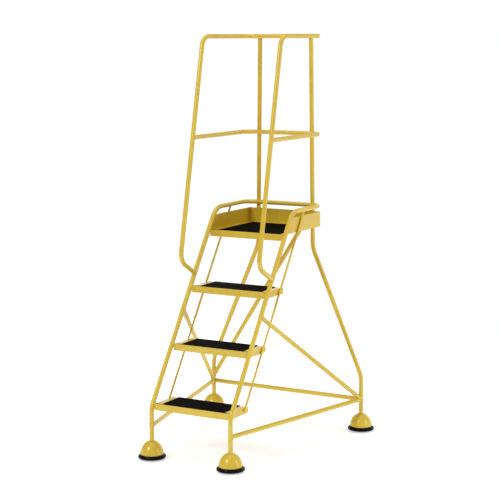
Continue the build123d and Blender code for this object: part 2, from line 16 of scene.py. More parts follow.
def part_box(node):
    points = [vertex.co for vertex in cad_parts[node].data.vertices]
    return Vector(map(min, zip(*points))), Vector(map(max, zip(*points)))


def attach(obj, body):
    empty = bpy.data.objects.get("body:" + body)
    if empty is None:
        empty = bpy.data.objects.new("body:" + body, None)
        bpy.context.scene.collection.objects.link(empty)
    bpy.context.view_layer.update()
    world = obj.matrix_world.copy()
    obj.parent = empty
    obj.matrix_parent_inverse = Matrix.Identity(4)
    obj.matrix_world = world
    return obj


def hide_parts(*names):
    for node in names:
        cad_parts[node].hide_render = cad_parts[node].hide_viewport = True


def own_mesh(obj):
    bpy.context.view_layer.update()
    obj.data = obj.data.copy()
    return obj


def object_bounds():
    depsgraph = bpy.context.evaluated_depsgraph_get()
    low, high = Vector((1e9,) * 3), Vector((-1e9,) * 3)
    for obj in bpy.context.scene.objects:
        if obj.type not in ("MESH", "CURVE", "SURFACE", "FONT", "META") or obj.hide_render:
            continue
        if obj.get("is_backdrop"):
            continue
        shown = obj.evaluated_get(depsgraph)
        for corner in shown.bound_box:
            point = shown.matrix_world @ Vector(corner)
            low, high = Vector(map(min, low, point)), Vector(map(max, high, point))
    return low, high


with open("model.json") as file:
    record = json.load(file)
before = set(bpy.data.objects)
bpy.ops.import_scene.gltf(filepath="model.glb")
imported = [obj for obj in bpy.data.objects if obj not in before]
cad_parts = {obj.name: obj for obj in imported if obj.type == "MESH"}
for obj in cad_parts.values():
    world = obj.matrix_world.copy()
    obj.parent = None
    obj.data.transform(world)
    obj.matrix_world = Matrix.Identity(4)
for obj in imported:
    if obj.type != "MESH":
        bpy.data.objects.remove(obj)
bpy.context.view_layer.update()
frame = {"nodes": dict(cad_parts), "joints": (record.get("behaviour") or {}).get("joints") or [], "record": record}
nodes = frame["nodes"]

# ------------------------------------------------------------------ sizes from the frame
SPOTS = ("front_left", "front_right", "rear_left", "rear_right")
SIDES = (-1, 1)  # left, right
TREADS = ("tread_1", "tread_2", "tread_3")
MATS = ("tread_mat_1", "tread_mat_2", "tread_mat_3", "platform_mat")


def middle(node):
    """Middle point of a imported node's box."""
    low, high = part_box(node)
    return (low + high) / 2


def half_size(node):
    """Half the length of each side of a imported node's box."""
    low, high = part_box(node)
    return (high - low) / 2


TUBE_R = half_size("rear_cross_tube").z
STILE_X = half_size("stile_hoop").x - TUBE_R
REAR_X = middle("dome_rear_right").x
FRONT_Y = middle("dome_front_right").y
REAR_Y = middle("dome_rear_right").y
RAIL_BACK_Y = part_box("mid_rail")[1].y - TUBE_R
TOE_RAIL_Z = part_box("stile_hoop")[1].z - TUBE_R
MID_RAIL_Z = middle("mid_rail").z
TOP_RAIL_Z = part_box("handrail_hoop")[1].z - TUBE_R
BASE_TUBE_Z = middle("rear_cross_tube").z
TREAD_X = half_size("tread_1").x

# Design sizes that a box can't give
RAKE = math.tan(math.radians(34.2))  # depth gained by a stile for each metre of height
FRONT_KNEE_Z = 0.246  # where a front leg bends into its stile
HANDRAIL_SLOPE = math.tan(math.radians(11.9))
HANDRAIL_FOOT_Z = 0.829  # where a handrail meets its stile
HANDRAIL_FOOT_DROP = math.tan(math.radians(30.0))
HANDRAIL_ELBOW_Z = 0.9037
SIDE_DIAGONAL_TOP_Z = 0.668
REAR_DIAGONAL_LOW_Z = 0.188
REAR_DIAGONAL_HIGH_Z = 1.108
UPRIGHT_KNEE_X = 0.157
UPRIGHT_TOP_X = 0.144
UPRIGHT_KNEE_Z = 0.910
REAR_LEG_TOP_DROP = 0.005  # a rear leg stops this far under the top rail's crown
LEG_TOP_Z = TOP_RAIL_Z + TUBE_R - REAR_LEG_TOP_DROP
ROD_SETBACK = 0.138  # rod axis behind the stile axis, measured level
DOME_SPRING_Z = 0.024  # where a dome turns into its straight skirt
DOME_WALL = 0.002
WHEEL_BORE_R = 0.00305
WHEEL_HUB_R = 0.006
SPRING_WIRE_R = 0.0011
SPRING_TURNS = 3.5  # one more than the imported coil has
RIB_PITCH = 0.009
RIB_GAP = 0.003
RIB_DEPTH = 0.0009

# Steps round and along the surfaces made here
FOOT_STEPS = 112
WHEEL_STEPS = 72
COIL_STEPS = 36  # in one turn
WIRE_SIDES = 12
WELD_STEPS = 72
BEAD_SIDES = 10


def stile_y(z):
    """Depth of the raked stile axis at height z."""
    return FRONT_Y + RAKE * (z - FRONT_KNEE_Z)


def handrail_y(z):
    """Depth of the long leaning handrail run at height z."""
    elbow = stile_y(HANDRAIL_FOOT_Z) - (HANDRAIL_ELBOW_Z - HANDRAIL_FOOT_Z) / HANDRAIL_FOOT_DROP
    return elbow + HANDRAIL_SLOPE * (z - HANDRAIL_ELBOW_Z)


def upright_x(z):
    """Distance of a rear leg's upper run from the middle at height z."""
    share = (z - UPRIGHT_KNEE_Z) / (LEG_TOP_Z - UPRIGHT_KNEE_Z)
    return UPRIGHT_KNEE_X + share * (UPRIGHT_TOP_X - UPRIGHT_KNEE_X)


# ------------------------------------------------------------------ finishes
# A Mix node's colour sockets by number, because its other sockets have the same names
MIX_FIRST, MIX_SECOND, MIX_RESULT = 6, 7, 2


class Value:
    """A shader socket that Python arithmetic extends with Math nodes."""

    def __init__(self, finish, socket):
        self.finish = finish
        self.socket = socket

    def math(self, operation, first, second):
        """The Value that a Math node makes of two others, or of one and a number."""
        made = self.finish.node("Math", {"operation": operation}, {0: first, 1: second})
        return Value(self.finish, made.outputs[0])

    def __add__(self, other):
        return self.math("ADD", self, other)

    def __sub__(self, other):
        return self.math("SUBTRACT", self, other)

    def __mul__(self, other):
        return self.math("MULTIPLY", self, other)

    def __radd__(self, other):
        return self.math("ADD", other, self)

    def __rsub__(self, other):
        return self.math("SUBTRACT", other, self)

    def __rmul__(self, other):
        return self.math("MULTIPLY", other, self)


class Finish:
    """A material being made: its principled shader and the nodes that feed it."""

    def __init__(self, name, **constants):
        self.material = bpy.data.materials.new(name)
        self.material.use_nodes = True
        self.tree = self.material.node_tree
        self.shader = next(n for n in self.tree.nodes if n.type == "BSDF_PRINCIPLED")
        for socket, value in constants.items():
            self.shader.inputs[socket.replace("_", " ")].default_value = value

    def node(self, kind, settings=None, sockets=None):
        """Add a node: its own settings first, then a value or a link for each socket."""
        made = self.tree.nodes.new("ShaderNode" + kind)
        for key, value in (settings or {}).items():
            if key == "stops":
                ramp = made.color_ramp
                while len(ramp.elements) < len(value):
                    ramp.elements.new(1.0)
                for element, (place, colour) in zip(ramp.elements, value):
                    element.position = place
                    element.color = (*colour, 1.0)
            else:
                setattr(made, key, value)
        for socket, value in (sockets or {}).items():
            self.feed(made.inputs[socket], value)
        return made

    def feed(self, socket, value):
        """Set a socket from a number, a colour, a Value or another node's output."""
        if isinstance(value, Value):
            value = value.socket
        if isinstance(value, bpy.types.NodeSocket):
            self.tree.links.new(value, socket)
        else:
            socket.default_value = value

    def place(self, scale=(1.0, 1.0, 1.0)):
        """Object coordinates in metres, stretched by a scale."""
        coordinates = self.node("TexCoord").outputs["Object"]
        mapping = self.node("Mapping", None, {"Vector": coordinates, "Scale": scale})
        return mapping.outputs["Vector"]

    def noise(self, scale, detail=2.0, stretch=(1.0, 1.0, 1.0), roughness=0.5):
        """Noise from 0 to 1, that many waves a metre."""
        made = self.node(
            "TexNoise",
            None,
            {"Vector": self.place(stretch), "Scale": scale, "Detail": detail, "Roughness": roughness},
        )
        return Value(self, made.outputs["Fac"])

    def band(self, value, low, high):
        """0 below low, 1 above high, smooth between."""
        made = self.node(
            "MapRange",
            {"interpolation_type": "SMOOTHSTEP"},
            {"Value": value, "From Min": low, "From Max": high},
        )
        return Value(self, made.outputs["Result"])

    def floor_height(self):
        """Height above the floor in metres."""
        split = self.node("SeparateXYZ", None, {"Vector": self.place()})
        return Value(self, split.outputs["Z"])

    def blend(self, share, first, second):
        """A colour between two, by a share from 0 to 1."""
        colours = {MIX_FIRST: self.colour(first), MIX_SECOND: self.colour(second)}
        made = self.node("Mix", {"data_type": "RGBA"}, {"Factor": share, **colours})
        return made.outputs[MIX_RESULT]

    @staticmethod
    def colour(value):
        """A link as it is, or three numbers with full opacity added."""
        return value if isinstance(value, bpy.types.NodeSocket) else (*value, 1.0)

    def bump(self, *layers):
        """Bump the normal with layers of (height value, metres of relief)."""
        total = None
        for value, relief in layers:
            layer = value * relief
            total = layer if total is None else total + layer
        made = self.node("Bump", None, {"Height": total, "Strength": 1.0, "Distance": 1.0})
        self.feed(self.shader.inputs["Normal"], made.outputs["Normal"])

    def surface(self, **sockets):
        """Feed the shader's own varying sockets and hand the material back."""
        for socket, value in sockets.items():
            self.feed(self.shader.inputs[socket.replace("_", " ")], value)
        return self.material


PAINT = (0.690, 0.500, 0.030)
PAINT_DEEP = (0.640, 0.432, 0.018)
PAINT_WORN = (0.46, 0.32, 0.07)
FILM_RELIEF = 0.00002
WELD_RELIEF = 0.0005


def powder_coat(name, scuffs=0.0, film_relief=FILM_RELIEF):
    """Glossy powder coat: slow tone shift, orange-peel skin, a few dull scuffs."""
    coat = Finish(name, Specular_IOR_Level=0.75, Coat_Roughness=0.14)
    tone = coat.noise(4.0, 3.0)
    film = coat.noise(60.0, 2.0)
    peel = coat.noise(520.0, 1.0)
    grime = coat.band(coat.noise(38.0, 6.0, roughness=0.7), 0.60, 0.78)
    paint = coat.blend(coat.band(tone, 0.3, 0.7), PAINT_DEEP, PAINT)
    paint = coat.blend(grime * (0.10 + scuffs), paint, PAINT_WORN)
    coat.bump((peel, 0.00002), (film, film_relief))
    return coat.surface(
        Base_Color=paint,
        Roughness=0.34 + 0.08 * film + 0.20 * grime,
        Coat_Weight=0.32 - 0.25 * grime,
    )


def mat_rubber():
    """Black ribbed matting: dull, with faint patches of dust."""
    rubber = Finish("ribbed_matting", Specular_IOR_Level=0.02)
    clean, dusty = (0.0016, 0.0018, 0.0024), (0.0050, 0.0050, 0.0054)
    dust = rubber.noise(24.0, 5.0, roughness=0.65)
    grain = rubber.noise(900.0, 2.0)
    rubber.bump((grain, 0.00008))
    return rubber.surface(
        Base_Color=rubber.blend(rubber.band(dust, 0.45, 0.85), clean, dusty),
        Roughness=0.60 + 0.22 * dust,
    )


def ring_rubber():
    """Moulded black rubber: satin sides, greyer where it meets the floor."""
    rubber = Finish("moulded_ring_rubber", Specular_IOR_Level=0.10)
    black, scuffed = (0.0020, 0.0020, 0.0023), (0.016, 0.016, 0.015)
    scuff = rubber.noise(70.0, 5.0, roughness=0.7)
    low = 1.0 - rubber.band(rubber.floor_height(), 0.006, 0.013)
    worn = rubber.band(scuff + 0.25 * low, 0.55, 0.85)
    rubber.bump((rubber.noise(700.0), 0.00006))
    return rubber.surface(
        Base_Color=rubber.blend(worn, black, scuffed),
        Roughness=0.38 + 0.30 * worn,
    )


def black_plastic():
    """Fine-textured black moulding for the tube plugs."""
    plastic = Finish("plug_plastic", Specular_IOR_Level=0.45)
    black, greyer = (0.010, 0.010, 0.011), (0.022, 0.022, 0.023)
    cloud = plastic.noise(30.0, 3.0)
    plastic.bump((plastic.noise(1200.0, 1.0), 0.00005))
    return plastic.surface(
        Base_Color=plastic.blend(cloud, black, greyer),
        Roughness=0.42 + 0.16 * cloud,
    )


def turned_nylon():
    """Cream nylon with fine rings left by turning."""
    nylon = Finish("turned_nylon", Subsurface_Weight=0.05)
    cream, pale_cream = (0.56, 0.53, 0.44), (0.68, 0.66, 0.58)
    rings = nylon.noise(1.0, 1.0, stretch=(40.0, 40.0, 2600.0))
    cloud = nylon.noise(50.0, 3.0)
    nylon.bump((rings, 0.00004))
    return nylon.surface(
        Base_Color=nylon.blend(cloud, cream, pale_cream),
        Roughness=0.40 + 0.15 * rings,
    )


def zinc_plate():
    """Zinc plate: pale metal with faint yellow and blue clouds and dull spots."""
    zinc = Finish("zinc_plate", Metallic=1.0)
    bluish, yellowish, dull = (0.55, 0.57, 0.62), (0.66, 0.62, 0.50), (0.36, 0.35, 0.33)
    cloud = zinc.noise(55.0, 4.0)
    spots = zinc.band(zinc.noise(160.0, 4.0, roughness=0.7), 0.58, 0.75)
    tint = zinc.blend(zinc.band(cloud, 0.35, 0.65), bluish, yellowish)
    zinc.bump((zinc.noise(420.0), 0.00005))
    return zinc.surface(
        Base_Color=zinc.blend(spots * 0.5, tint, dull),
        Roughness=0.28 + 0.14 * cloud + 0.20 * spots,
    )


def spring_wire():
    """Oiled spring wire: dark steel with drawn streaks."""
    wire = Finish("spring_wire", Metallic=1.0)
    oiled, bright = (0.20, 0.20, 0.21), (0.38, 0.37, 0.36)
    streak = wire.noise(260.0, 4.0, stretch=(1.0, 1.0, 5.0))
    wire.bump((streak, 0.00003))
    return wire.surface(
        Base_Color=wire.blend(streak, oiled, bright),
        Roughness=0.30 + 0.25 * streak,
    )


def wheel_nylon():
    """Dark grey moulded wheel with paler scuffs."""
    nylon = Finish("wheel_moulding", Specular_IOR_Level=0.45)
    grey, scuffed = (0.035, 0.035, 0.038), (0.085, 0.083, 0.08)
    scuff = nylon.band(nylon.noise(120.0, 5.0, roughness=0.7), 0.5, 0.75)
    nylon.bump((nylon.noise(500.0), 0.00008))
    return nylon.surface(
        Base_Color=nylon.blend(scuff, grey, scuffed),
        Roughness=0.36 + 0.26 * scuff,
    )


TUBE_PAINT = powder_coat("tube_powder_coat")
SHEET_PAINT = powder_coat("sheet_powder_coat", scuffs=0.12)
DOME_PAINT = powder_coat("dome_powder_coat", scuffs=0.04)
WELD_PAINT = powder_coat("weld_powder_coat", film_relief=WELD_RELIEF)
MATTING = mat_rubber()
RING_RUBBER = ring_rubber()
PLUG_PLASTIC = black_plastic()
BUSH_NYLON = turned_nylon()
ZINC = zinc_plate()
SPRING_WIRE = spring_wire()
WHEEL_NYLON = wheel_nylon()

SLOT_FINISH = {
    "tube_paint": TUBE_PAINT,
    "sheet_paint": SHEET_PAINT,
    "dome_paint": DOME_PAINT,
    "mat_rubber": MATTING,
    "ring_rubber": RING_RUBBER,
    "black_plastic": PLUG_PLASTIC,
    "bush_nylon": BUSH_NYLON,
    "zinc_steel": ZINC,
    "spring_steel": SPRING_WIRE,
    "wheel_nylon": WHEEL_NYLON,
}
for subpart in frame["record"]["subparts"]:
    for slot in nodes[subpart["node"]].material_slots:
        slot.material = SLOT_FINISH[subpart["material_slot"]]


# ------------------------------------------------------------------ making surfaces
def grid_part(points, closed_rows=False, closed_columns=False, flip=False):
    """Quads over a grid of points (rows, columns, 3).

    A closed way joins its end to its start; flip turns the faces over.
    """
    rows, columns = points.shape[:2]
    row = np.arange(rows if closed_rows else rows - 1)
    column = np.arange(columns if closed_columns else columns - 1)
    a, b = np.meshgrid(row, column, indexing="ij")
    next_a, next_b = (a + 1) % rows, (b + 1) % columns
    corners = [a * columns + b, next_a * columns + b, next_a * columns + next_b, a * columns + next_b]
    quads = np.stack(corners[::-1] if flip else corners, axis=-1).reshape(-1, 4)
    return points.reshape(-1, 3), quads.tolist()


def capped(part, rows, columns, flip=False):
    """Close both open ends of a grid whose columns go round, each with one flat face."""
    points, faces = part
    first = list(range(columns))
    last = [(rows - 1) * columns + i for i in range(columns)]
    ends = [first[::-1], last] if flip else [first, last[::-1]]
    return points, faces + ends


def make_piece(name, parts, body, finish, replaced=(), sharp=40.0):
    """One mesh object from several closed parts, riding on a body.

    Edges that turn by more than the sharp angle, in degrees, stay crisp.
    """
    offset = 0
    faces = []
    for points, polygons in parts:
        faces += [[corner + offset for corner in polygon] for polygon in polygons]
        offset += len(points)
    mesh = bpy.data.meshes.new(name)
    mesh.from_pydata(np.concatenate([points for points, _ in parts]), [], faces)
    mesh.materials.append(finish)
    mesh.shade_smooth()
    mesh.set_sharp_from_angle(angle=math.radians(sharp))
    piece = bpy.data.objects.new(name, mesh)
    bpy.context.scene.collection.objects.link(piece)
    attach(piece, body)
    if replaced:
        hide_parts(*replaced)
    return piece


def turned(outline, centre, steps, axis="z"):
    """A closed outline of (radius, height) turned once about an axis through a centre.

    Point = centre + radius * (cos angle, sin angle) across the axis + height along it.
    """
    radius, along = np.asarray(outline, float).T
    angle = np.linspace(0, 2 * math.pi, steps, endpoint=False)[:, None]
    first, second = radius * np.cos(angle), radius * np.sin(angle)
    third = np.broadcast_to(along, first.shape)
    order = {"z": (first, second, third), "x": (third, first, second)}[axis]
    points = np.stack(order, axis=-1) + np.asarray(centre, float)
    return grid_part(points, closed_rows=True, closed_columns=True)


def arc(centre, radius, start, end, steps):
    """Points on a circle from one angle to another, in degrees."""
    angle = np.radians(np.linspace(start, end, steps))
    across, up = centre[0] + radius * np.cos(angle), centre[1] + radius * np.sin(angle)
    return list(zip(across, up))


# ------------------------------------------------------------------ domed feet
def dome_outline(node):
    """Pressed dome: quarter ellipse outside, rolled bead at the rim, the same wall inside."""
    low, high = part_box(node)
    radius = (high.x - low.x) / 2
    inner_radius = radius - DOME_WALL
    hole = math.acos(TUBE_R / radius)
    rise = (high.z - DOME_SPRING_Z) / math.sin(hole)
    outer_steps, inner_steps = 30, 24
    turn = np.linspace(hole, 0, outer_steps)
    outer = list(zip(radius * np.cos(turn), DOME_SPRING_Z + rise * np.sin(turn)))
    inner_hole = math.acos(TUBE_R / inner_radius)
    turn = np.linspace(0, inner_hole, inner_steps)
    inner = list(zip(inner_radius * np.cos(turn), DOME_SPRING_Z + (rise - DOME_WALL) * np.sin(turn)))
    bead_z = DOME_SPRING_Z + 0.0052
    bead_sink, bead_r, bead_room = 0.0006, 0.0017, 0.0022
    rim_bead = arc((radius - bead_sink, bead_z), bead_r, start=75, end=-75, steps=7)
    outer = [point for point in outer if point[1] > bead_z + bead_room]
    skirt = [(radius, DOME_SPRING_Z), (radius, low.z), (inner_radius, low.z)]
    return [*outer, *rim_bead, *skirt, *inner]


def ring_outline(node, dome):
    """Rubber ring: thin top lip on the dome, bulged side, flat foot with a groove."""
    low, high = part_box(node)
    outer = (high.x - low.x) / 2
    dome_radius = half_size(dome).x
    dome_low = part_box(dome)[0].z
    lip = dome_radius + 0.0022
    bore = dome_radius - 0.006
    skirt_inside = dome_radius - DOME_WALL
    foot = low.z
    bulge_r = 0.0065
    groove_top = foot + 0.0012
    side = arc((outer - bulge_r, foot + bulge_r), bulge_r, start=62, end=-58, steps=14)
    return [
        (lip - 0.0022, high.z - 0.0006),
        (lip - 0.0008, high.z),
        (lip + 0.0004, high.z - 0.0012),
        (lip + 0.0013, high.z - 0.0046),
        (lip + 0.0032, high.z - 0.0072),
        *side,
        (outer - 0.0055, foot + 0.0003),
        (outer - 0.0075, foot),
        (outer - 0.0090, foot),
        (outer - 0.0096, groove_top),
        (outer - 0.0104, groove_top),
        (outer - 0.0110, foot),
        (bore + 0.0016, foot),
        (bore, foot + 0.0016),
        (bore, dome_low + 0.0040),
        (skirt_inside, dome_low + 0.0070),
        (skirt_inside, dome_low),
        (dome_radius, dome_low),
    ]


def coil(centre, radius, wire, low, high, turns):
    """Compression spring whose turns lie closer together towards both ends.

    Height = share of the way up, less a sine that slows the rise at the ends;
    point = centre + helix at that height + wire radius round the helix's own direction.
    """
    steps = int(turns * COIL_STEPS)
    slowing = 0.55
    share = np.linspace(0, 1, steps)
    ease = share - slowing * np.sin(2 * math.pi * share) / (2 * math.pi)
    angle = 2 * math.pi * turns * share
    height = low + (high - low) * ease
    line = np.stack([radius * np.cos(angle), radius * np.sin(angle), height], axis=-1)
    along = np.gradient(line, axis=0)
    along /= np.linalg.norm(along, axis=1, keepdims=True)
    outward = np.stack([np.cos(angle), np.sin(angle), np.zeros(steps)], axis=-1)
    upward = np.cross(outward, along)
    turn = np.linspace(0, 2 * math.pi, WIRE_SIDES, endpoint=False)[None, :, None]
    skin = np.cos(turn) * outward[:, None] + np.sin(turn) * upward[:, None]
    points = line[:, None] + wire * skin + np.asarray(centre)
    return capped(grid_part(points, closed_columns=True), steps, WIRE_SIDES)


def wheel_outline(node):
    """Half section of the castor wheel: crowned tread, rounded shoulders, dished web, hub."""
    low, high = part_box(node)
    rim = (high.z - low.z) / 2
    hub_half = (high.x - low.x) / 2
    tread_half = hub_half - 0.0017
    web = tread_half * 0.45
    right = [
        (rim, 0.0),
        (rim - 0.0001, tread_half * 0.55),
        (rim - 0.0007, tread_half * 0.86),
        (rim - 0.0020, tread_half),
        (rim - 0.0042, tread_half),
        (rim - 0.0058, web),
        (WHEEL_HUB_R + 0.0012, web),
        (WHEEL_HUB_R, web + 0.0010),
        (WHEEL_HUB_R, hub_half),
        (WHEEL_BORE_R, hub_half),
    ]
    left = [(r, -x) for r, x in right[::-1] if x > 0]
    return right + left


for spot in SPOTS:
    foot = middle("dome_" + spot)
    base = (foot.x, foot.y, 0.0)
    make_piece(
        "dome_shell_" + spot,
        [turned(dome_outline("dome_" + spot), base, FOOT_STEPS)],
        "frame",
        DOME_PAINT,
        replaced=["dome_" + spot],
    )
    make_piece(
        "floor_ring_" + spot,
        [turned(ring_outline("rubber_ring_" + spot, "dome_" + spot), base, FOOT_STEPS)],
        "frame",
        RING_RUBBER,
        replaced=["rubber_ring_" + spot],
    )
    spring_low, spring_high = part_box("spring_" + spot)
    wire_line_r = (spring_high.x - spring_low.x) / 2 - SPRING_WIRE_R
    wire_low, wire_high = spring_low.z + SPRING_WIRE_R, spring_high.z - SPRING_WIRE_R
    spring = make_piece(
        "coil_spring_" + spot,
        [coil(base, wire_line_r, SPRING_WIRE_R, wire_low, wire_high, SPRING_TURNS)],
        "frame",
        SPRING_WIRE,
        replaced=["spring_" + spot],
    )
    travel = next(joint for joint in frame["joints"] if joint["name"] == "plunger_travel_" + spot)
    length = spring_high.z - spring_low.z
    (length - travel["range_m"][1]) / length
    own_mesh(spring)
    hub = middle("castor_wheel_" + spot)
    make_piece(
        "wheel_" + spot,
        [turned(wheel_outline("castor_wheel_" + spot), hub, WHEEL_STEPS, axis="x")],
        "wheel_" + spot,
        WHEEL_NYLON,
        replaced=["castor_wheel_" + spot],
    )


# ------------------------------------------------------------------ ribbed mats
def ribbed_mat(node):
    """Matting whose ribs run across the ladder.

    The section is height against depth: a trapezium-sided groove in every pitch, small
    rounds at the front and rear edges; it is carried across the width and drops a little
    over the last two millimetres at each side.
    """
    low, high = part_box(node)
    depth = high.y - low.y
    slope, edge = 0.0005, 0.0008
    corner = 0.3 * edge
    count = int((depth - RIB_PITCH) // RIB_PITCH)
    first = low.y + (depth - (count - 1) * RIB_PITCH) / 2
    half = RIB_GAP / 2
    groove = [(-half, 0.0), (slope - half, -RIB_DEPTH), (half - slope, -RIB_DEPTH), (half, 0.0)]
    centres = first + RIB_PITCH * np.arange(count)
    tops = np.stack([centres, np.full(count, high.z)], axis=-1)
    ribs = (np.array(groove)[None] + tops[:, None]).reshape(-1, 2)
    front = [(low.y, low.z), (low.y, high.z - edge), (low.y + corner, high.z - corner)]
    front.append((low.y + edge, high.z))
    rear = [(high.y - edge, high.z), (high.y - corner, high.z - corner)]
    rear += [(high.y, high.z - edge), (high.y, low.z)]
    section = np.array([*front, *ribs, *rear])
    inset = np.array([0.0, 0.0006, 0.002])  # in from a side
    fall = np.array([0.0010, 0.0003, 0.0])  # drop of the surface there
    x = np.concatenate([low.x + inset, (high.x - inset)[::-1]])
    drop = np.concatenate([fall, fall[::-1]])
    points = np.empty((len(x), len(section), 3))
    points[..., 0] = x[:, None]
    points[..., 1] = section[:, 0]
    points[..., 2] = np.maximum(section[:, 1] - drop[:, None], low.z)
    part = grid_part(points, closed_columns=True, flip=True)
    return capped(part, len(x), len(section), flip=True)


def edge_strip(node, half_width):
    """Slim rubber trim lapping the hem in front of a mat, from stile to stile.

    Its section is a low half ellipse standing on a flat; it is carried straight across.
    """
    low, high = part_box(node)
    half_depth, crown, flat_z = 0.0030, 0.0013, high.z - 0.0015
    arch_steps, run_steps = 11, 24
    angle = np.linspace(0, math.pi, arch_steps)
    y = low.y - 0.0016 + half_depth * np.cos(angle)
    z = high.z - 0.0004 + crown * np.sin(angle)
    section = np.array([(y[0], flat_z), *zip(y, z), (y[-1], flat_z)])
    x = np.linspace(-half_width, half_width, run_steps)
    points = np.empty((len(x), len(section), 3))
    points[..., 0] = x[:, None]
    points[..., 1] = section[:, 0]
    points[..., 2] = section[:, 1]
    part = grid_part(points, closed_columns=True)
    return capped(part, len(x), len(section))


strip_half_width = STILE_X - TUBE_R - 0.002
for mat in MATS:
    make_piece(
        mat.replace("mat", "matting"),
        [ribbed_mat(mat), edge_strip(mat, strip_half_width)],
        "frame",
        MATTING,
        replaced=[mat],
        sharp=30.0,
    )


# ------------------------------------------------------------------ weld beads
def unit(vector):
    """The same direction with a length of one."""
    return np.asarray(vector, float) / np.linalg.norm(vector)


def bead(line, outward, thickness, ripples):
    """A closed round bead along a closed line of points.

    Its radius swells and shrinks a little with each ripple of the weld.
    """
    steps = len(line)
    ripple_height = 0.14
    along = np.roll(line, -1, axis=0) - np.roll(line, 1, axis=0)
    along /= np.linalg.norm(along, axis=1, keepdims=True)
    outward = outward - (outward * along).sum(1, keepdims=True) * along
    outward /= np.linalg.norm(outward, axis=1, keepdims=True)
    across = np.cross(along, outward)
    swell = 1 + ripple_height * np.sin(np.linspace(0, 2 * math.pi * ripples, steps, endpoint=False))
    angle = np.linspace(0, 2 * math.pi, BEAD_SIDES, endpoint=False)[None, :, None]
    radius = (thickness * swell)[:, None, None]
    points = line[:, None] + radius * (np.cos(angle) * outward[:, None] + np.sin(angle) * across[:, None])
    return grid_part(points, closed_rows=True, closed_columns=True)


def cope_weld(end, toward, mate, thickness=0.0022, ripples=22):
    """Bead where a tube's coped end meets an equal tube.

    For each angle round the incoming tube, the line on its skin is followed back along the
    tube until it is one radius from the mating axis. That distance is the larger root of a
    quadratic, and those points make the bead's line.
    """
    end, run, mate = np.asarray(end, float), unit(np.subtract(toward, end)), unit(mate)
    side = unit(np.cross(run, mate))
    top = np.cross(side, run)
    angle = np.linspace(0, 2 * math.pi, WELD_STEPS, endpoint=False)[:, None]
    skin = TUBE_R * (np.cos(angle) * side + np.sin(angle) * top)
    across_run = run - (run @ mate) * mate
    across_skin = skin - (skin @ mate)[:, None] * mate
    a = across_run @ across_run
    b = 2 * across_skin @ across_run
    c = (across_skin**2).sum(1) - TUBE_R**2
    reach = (-b + np.sqrt(np.maximum(b**2 - 4 * a * c, 0))) / (2 * a)
    line = end + skin + reach[:, None] * run
    return bead(line, skin / TUBE_R, thickness, ripples)


def ring_weld(centre, radius, thickness, axis=(0, 0, 1), ripples=24):
    """Round bead about an axis, such as a leg's where it enters its dome."""
    axis = unit(axis)
    slanting = (0.3, 0.9, 0.1)  # any direction that no axis here has
    side = unit(np.cross(axis, slanting))
    angle = np.linspace(0, 2 * math.pi, WELD_STEPS, endpoint=False)[:, None]
    outward = np.cos(angle) * side + np.sin(angle) * np.cross(axis, side)
    return bead(np.asarray(centre, float) + radius * outward, outward, thickness, ripples)


def seam_weld(start, end, thickness=0.0016, ripples=6):
    """A short straight rippled bead; its radius falls off at both ends by a sixth power."""
    steps, ripple_height = 28, 0.12
    slanting = (0.31, 0.17, 0.93)  # any direction that no seam here has
    start, end = np.asarray(start, float), np.asarray(end, float)
    run = unit(end - start)
    side = unit(np.cross(run, slanting))
    top = np.cross(run, side)
    share = np.linspace(0, 1, steps)
    radius = thickness * np.sqrt(np.clip(1 - (2 * share - 1) ** 6, 0.02, 1))
    radius *= 1 + ripple_height * np.sin(2 * math.pi * ripples * share)
    angle = np.linspace(0, 2 * math.pi, BEAD_SIDES, endpoint=False)[None, :, None]
    line = start + share[:, None] * (end - start)
    points = line[:, None] + radius[:, None, None] * (np.cos(angle) * side + np.sin(angle) * top)
    return capped(grid_part(points, closed_columns=True), steps, BEAD_SIDES)


def crossing_weld(x, z):
    """Bead filling the crotch where a rail's back run lies against an upright."""
    between = (x, RAIL_BACK_Y + TUBE_R, z)
    return ring_weld(between, radius=0.0062, thickness=0.0022, axis=(0, 1, 0), ripples=16)


straight_up = (0, 0, 1)
stile_direction = (0, RAKE, 1)
handrail_direction = (0, HANDRAIL_SLOPE, 1)
upright_direction = (UPRIGHT_TOP_X - UPRIGHT_KNEE_X, 0, TOP_RAIL_Z - UPRIGHT_KNEE_Z)
frame_welds = []
for side in SIDES:
    stile_foot = (side * STILE_X, FRONT_Y, BASE_TUBE_Z)
    rear_foot = (side * REAR_X, REAR_Y, BASE_TUBE_Z)
    elbow = (side * STILE_X, handrail_y(HANDRAIL_ELBOW_Z), HANDRAIL_ELBOW_Z)
    handrail_foot = (side * STILE_X, stile_y(HANDRAIL_FOOT_Z), HANDRAIL_FOOT_Z)
    brace_top = (side * STILE_X, stile_y(SIDE_DIAGONAL_TOP_Z), SIDE_DIAGONAL_TOP_Z)
    mid_end = (side * STILE_X, handrail_y(MID_RAIL_Z), MID_RAIL_Z)
    mid_back = (side * STILE_X, RAIL_BACK_Y, MID_RAIL_Z)
    frame_welds += [
        cope_weld(handrail_foot, elbow, stile_direction),
        cope_weld(mid_end, mid_back, handrail_direction),
        cope_weld(stile_foot, rear_foot, straight_up),
        cope_weld(rear_foot, stile_foot, straight_up),
        cope_weld(rear_foot, (0, REAR_Y, BASE_TUBE_Z), straight_up),
        cope_weld(brace_top, rear_foot, stile_direction),
        cope_weld(rear_foot, brace_top, straight_up),
    ]
    frame_welds += [crossing_weld(side * upright_x(z), z) for z in (TOE_RAIL_Z, MID_RAIL_Z, TOP_RAIL_Z)]
rear_brace_low = (-REAR_X, REAR_Y, REAR_DIAGONAL_LOW_Z)
rear_brace_high = (upright_x(REAR_DIAGONAL_HIGH_Z), REAR_Y, REAR_DIAGONAL_HIGH_Z)
frame_welds.append(cope_weld(rear_brace_low, rear_brace_high, straight_up))
frame_welds.append(cope_weld(rear_brace_high, rear_brace_low, upright_direction))
